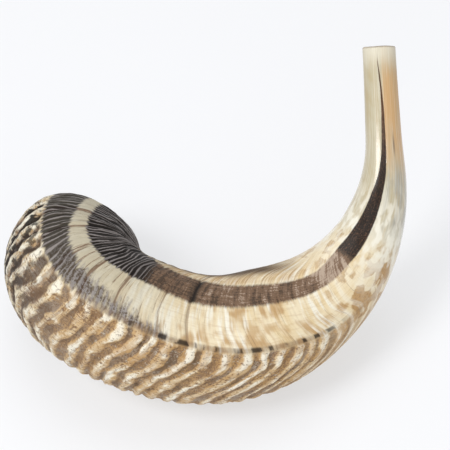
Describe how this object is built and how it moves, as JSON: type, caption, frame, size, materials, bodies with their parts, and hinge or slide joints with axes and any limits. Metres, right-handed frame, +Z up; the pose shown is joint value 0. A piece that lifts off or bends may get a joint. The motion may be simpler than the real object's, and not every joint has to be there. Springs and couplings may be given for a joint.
{
  "type": "shofar",
  "caption": "Natural ram's horn shofar with a carved mouthpiece, a straightened polished neck and a ribbed body that turns through an open spiral to a round bell.",
  "frame": {"origin": "centre of the bounding box on the surface that the horn rests on", "axes": "+Z up, +X towards the mouthpiece side along the longest extent, -Y towards the open side of the curve's lower, ribbed belly"},
  "size_m": [0.1996, 0.136, 0.1103],
  "materials": {
    "polished_horn": "ivory and tan keratin, heat-straightened, scraped and polished to a gloss",
    "half_polished_horn": "cream horn with brown growth streaks and a black band, part polished",
    "ribbed_horn": "natural ribbed horn skin, satin, with dark fibrous valleys"
  },
  "bodies": {
    "root": {"mouthpiece_tip": "polished_horn", "polished_neck": "polished_horn", "first_growth_cone": "half_polished_horn", "second_growth_cone": "half_polished_horn", "third_growth_cone": "ribbed_horn", "fourth_growth_cone": "ribbed_horn", "fifth_growth_cone": "ribbed_horn", "sixth_growth_cone": "ribbed_horn", "bell_cone": "ribbed_horn"}
  },
  "joints": []
}
